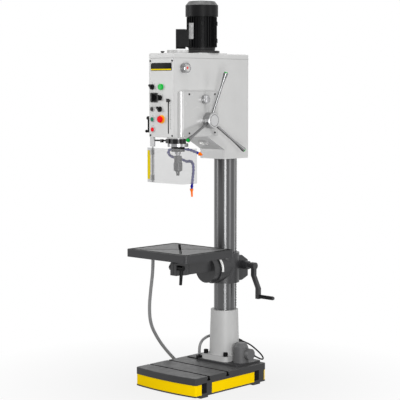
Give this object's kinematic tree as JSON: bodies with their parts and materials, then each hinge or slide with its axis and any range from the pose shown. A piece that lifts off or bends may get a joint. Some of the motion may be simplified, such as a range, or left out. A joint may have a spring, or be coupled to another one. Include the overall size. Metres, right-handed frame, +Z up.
{
  "type": "drill press",
  "caption": "Floor-standing geared drill press with steel column, tilting slotted table, quill feed handles, front panel, flange motor, clear guard and coolant set.",
  "frame": {"origin": "column axis at floor level, on the pad under the middle of the column", "axes": "+Z up along the column, -Y to the operator in front, +X to the operator's right"},
  "size_m": [0.5613, 0.6998, 2.146],
  "materials": {
    "dark_casting": "semi-gloss paint",
    "polished_steel": "ground",
    "table_iron": "machined",
    "light_paint": "semi-gloss paint",
    "black_steel": "blackened",
    "gear_steel": "machined",
    "bright_steel": "polished",
    "green_plastic": "gloss",
    "black_plastic": "matte",
    "red_plastic": "gloss",
    "clear_sheet": "clear",
    "lamp_white": "gloss",
    "motor_paint": "semi-gloss paint",
    "pump_paint": "semi-gloss paint",
    "hose_rubber": "matte",
    "cable_rubber": "matte",
    "arm_plastic": "matte",
    "orange_plastic": "matte",
    "aluminium": "satin"
  },
  "bodies": {
    "frame": {"base_casting": "dark_casting", "column_foot": "light_paint", "foot_bolts": "black_steel", "column_tube": "polished_steel", "head_casting": "light_paint", "head_top_cover": "light_paint", "control_panel": "light_paint", "cover_screws": "black_steel", "switch_bezels": "black_plastic", "feed_cover": "light_paint", "sight_glass": "clear_sheet", "work_lamp": "lamp_white", "motor_body": "motor_paint", "fan_cowl": "motor_paint", "terminal_box": "motor_paint", "hose_fittings": "black_plastic", "coolant_pump": "pump_paint", "pump_cable": "cable_rubber", "supply_hose": "hose_rubber", "drain_hose": "hose_rubber", "shaft_bearings": "gear_steel"},
    "rack": {"column_rack": "gear_steel"},
    "bracket": {"table_bracket": "dark_casting"},
    "crank": {"lift_crank": "dark_casting"},
    "grip": {"crank_grip": "black_plastic"},
    "arm": {"table_arm": "dark_casting", "clamp_nut": "black_steel"},
    "table_clamp": {"table_clamp_lever": "black_steel"},
    "table": {"table_top": "table_iron"},
    "quill": {"quill": "polished_steel", "quill_ring": "polished_steel", "coolant_ring": "black_steel", "coolant_arms": "arm_plastic", "coolant_nozzles": "orange_plastic", "guard_rod": "black_steel", "guard_post": "aluminium"},
    "guard": {"guard_shield": "clear_sheet"},
    "spindle": {"spindle": "polished_steel", "chuck_body": "bright_steel"},
    "chuck_sleeve": {"chuck_sleeve": "bright_steel"},
    "jaw_1": {"chuck_jaw_1": "bright_steel"},
    "jaw_2": {"chuck_jaw_2": "bright_steel"},
    "jaw_3": {"chuck_jaw_3": "bright_steel"},
    "feed": {"feed_hub": "bright_steel", "feed_handles": "bright_steel", "handle_caps": "green_plastic"},
    "pointer": {"depth_pointer": "black_plastic"},
    "motor": {"motor_rotor": "gear_steel"},
    "middle": {"intermediate_gears": "gear_steel"},
    "spindle_drive": {"spindle_gear": "gear_steel"},
    "feed_knob": {"feed_knob": "black_plastic"},
    "gear_lever": {"gear_lever": "black_steel"},
    "main_switch": {"main_switch": "black_plastic"},
    "selector_1": {"selector_1": "black_plastic"},
    "selector_2": {"selector_2": "black_plastic"},
    "selector_3": {"selector_3": "black_plastic"},
    "button_black": {"button_black": "black_plastic"},
    "button_green": {"button_green": "green_plastic"},
    "button_red": {"button_red": "red_plastic"},
    "estop": {"estop_button": "red_plastic"}
  },
  "joints": [
    {"name": "table_swing", "type": "hinge", "parent": "frame", "child": "rack", "pos_m": [0, 0, 0.8], "axis": [0, 0, 1], "range_deg": [-35, 35]},
    {"name": "table_lift", "type": "slide", "parent": "rack", "child": "bracket", "axis": [0, 0, 1], "range_m": [-0.15, 0.2], "deforming": ["drain_hose"]},
    {"name": "table_tilt", "type": "hinge", "parent": "bracket", "child": "arm", "pos_m": [0, -0.114, 0.65], "axis": [0, 1, 0], "range_deg": [-45, 45]},
    {"name": "table_turn", "type": "hinge", "parent": "arm", "child": "table", "pos_m": [0, -0.365, 0.7], "axis": [0, 0, 1], "range_deg": [-45, 45]},
    {"name": "table_clamp", "type": "hinge", "parent": "arm", "child": "table_clamp", "pos_m": [0.09, -0.438, 0.693], "axis": [1, 0, 0], "range_deg": [-60, 60]},
    {"name": "crank_turn", "type": "hinge", "parent": "bracket", "child": "crank", "pos_m": [0.147, 0.086, 0.66], "axis": [1, 0, 0], "range_deg": [-479, 638]},
    {"name": "grip_spin", "type": "hinge", "parent": "crank", "child": "grip", "pos_m": [0.24, 0.086, 0.489], "axis": [1, 0, 0], "continuous": true},
    {"name": "quill_feed", "type": "slide", "parent": "frame", "child": "quill", "axis": [0, 0, 1], "range_m": [-0.15, 0], "stiffness_N_per_m": 300, "springref_m": 0.6},
    {"name": "feed_turn", "type": "hinge", "parent": "frame", "child": "feed", "pos_m": [0.14, -0.265, 1.491], "axis": [1, 0, 0], "range_deg": [0, 110.3]},
    {"name": "pointer_slide", "type": "slide", "parent": "frame", "child": "pointer", "axis": [0, 0, 1], "range_m": [-0.15, 0]},
    {"name": "guard_swing", "type": "hinge", "parent": "quill", "child": "guard", "pos_m": [-0.149, -0.426, 1.25], "axis": [0, 0, 1], "range_deg": [-100, 0]},
    {"name": "motor_spin", "type": "hinge", "parent": "frame", "child": "motor", "pos_m": [0, -0.19, 1.9], "axis": [0, 0, 1], "continuous": true},
    {"name": "middle_spin", "type": "hinge", "parent": "frame", "child": "middle", "pos_m": [0, -0.28, 1.75], "axis": [0, 0, 1], "continuous": true},
    {"name": "gear_spin", "type": "hinge", "parent": "frame", "child": "spindle_drive", "pos_m": [0, -0.38, 1.75], "axis": [0, 0, 1], "continuous": true},
    {"name": "spindle_spin", "type": "hinge", "parent": "quill", "child": "spindle", "pos_m": [0, -0.38, 1.4], "axis": [0, 0, 1], "continuous": true},
    {"name": "sleeve_turn", "type": "hinge", "parent": "spindle", "child": "chuck_sleeve", "pos_m": [0, -0.38, 1.24], "axis": [0, 0, 1], "range_deg": [0, 360]},
    {"name": "jaw_1_slide", "type": "slide", "parent": "spindle", "child": "jaw_1", "axis": [0, -0.0979, -0.9952], "range_m": [-0.008, 0]},
    {"name": "jaw_2_slide", "type": "slide", "parent": "spindle", "child": "jaw_2", "axis": [0.0848, 0.0489, -0.9952], "range_m": [-0.008, 0]},
    {"name": "jaw_3_slide", "type": "slide", "parent": "spindle", "child": "jaw_3", "axis": [-0.0848, 0.0489, -0.9952], "range_m": [-0.008, 0]},
    {"name": "feed_knob_turn", "type": "hinge", "parent": "frame", "child": "feed_knob", "pos_m": [0.12, -0.296, 1.606], "axis": [1, 0, 0], "range_deg": [-60, 60]},
    {"name": "gear_lever_turn", "type": "hinge", "parent": "frame", "child": "gear_lever", "pos_m": [-0.1, -0.468, 1.503], "axis": [1, 0, 0], "range_deg": [-40, 40]},
    {"name": "main_switch_turn", "type": "hinge", "parent": "frame", "child": "main_switch", "pos_m": [-0.053, -0.51, 1.615], "axis": [0, -1, 0], "range_deg": [0, 90]},
    {"name": "selector_1_turn", "type": "hinge", "parent": "frame", "child": "selector_1", "pos_m": [-0.067, -0.51, 1.672], "axis": [0, -1, 0], "range_deg": [-45, 45]},
    {"name": "selector_2_turn", "type": "hinge", "parent": "frame", "child": "selector_2", "pos_m": [-0.008, -0.51, 1.614], "axis": [0, -1, 0], "range_deg": [-45, 45]},
    {"name": "selector_3_turn", "type": "hinge", "parent": "frame", "child": "selector_3", "pos_m": [-0.009, -0.51, 1.553], "axis": [0, -1, 0], "range_deg": [-45, 45]},
    {"name": "button_black_press", "type": "slide", "parent": "frame", "child": "button_black", "axis": [0, 1, 0], "range_m": [0, 0.004], "stiffness_N_per_m": 500, "springref_m": -0.004},
    {"name": "button_green_press", "type": "slide", "parent": "frame", "child": "button_green", "axis": [0, 1, 0], "range_m": [0, 0.004], "stiffness_N_per_m": 500, "springref_m": -0.004},
    {"name": "button_red_press", "type": "slide", "parent": "frame", "child": "button_red", "axis": [0, 1, 0], "range_m": [0, 0.004], "stiffness_N_per_m": 500, "springref_m": -0.004},
    {"name": "estop_press", "type": "slide", "parent": "frame", "child": "estop", "axis": [0, 1, 0], "range_m": [0, 0.006], "stiffness_N_per_m": 800, "springref_m": -0.005}
  ],
  "couplings": [
    {"joint": "crank_turn", "follows": "table_lift", "rad_per_m": 55.556},
    {"joint": "feed_turn", "follows": "quill_feed", "rad_per_m": -12.821},
    {"joint": "pointer_slide", "follows": "quill_feed", "ratio": 1},
    {"joint": "middle_spin", "follows": "motor_spin", "ratio": -0.38462},
    {"joint": "gear_spin", "follows": "motor_spin", "ratio": 0.16484},
    {"joint": "spindle_spin", "follows": "motor_spin", "ratio": 0.16484},
    {"joint": "jaw_1_slide", "follows": "sleeve_turn", "m_per_rad": -0.0012716},
    {"joint": "jaw_2_slide", "follows": "sleeve_turn", "m_per_rad": -0.0012716},
    {"joint": "jaw_3_slide", "follows": "sleeve_turn", "m_per_rad": -0.0012716}
  ]
}
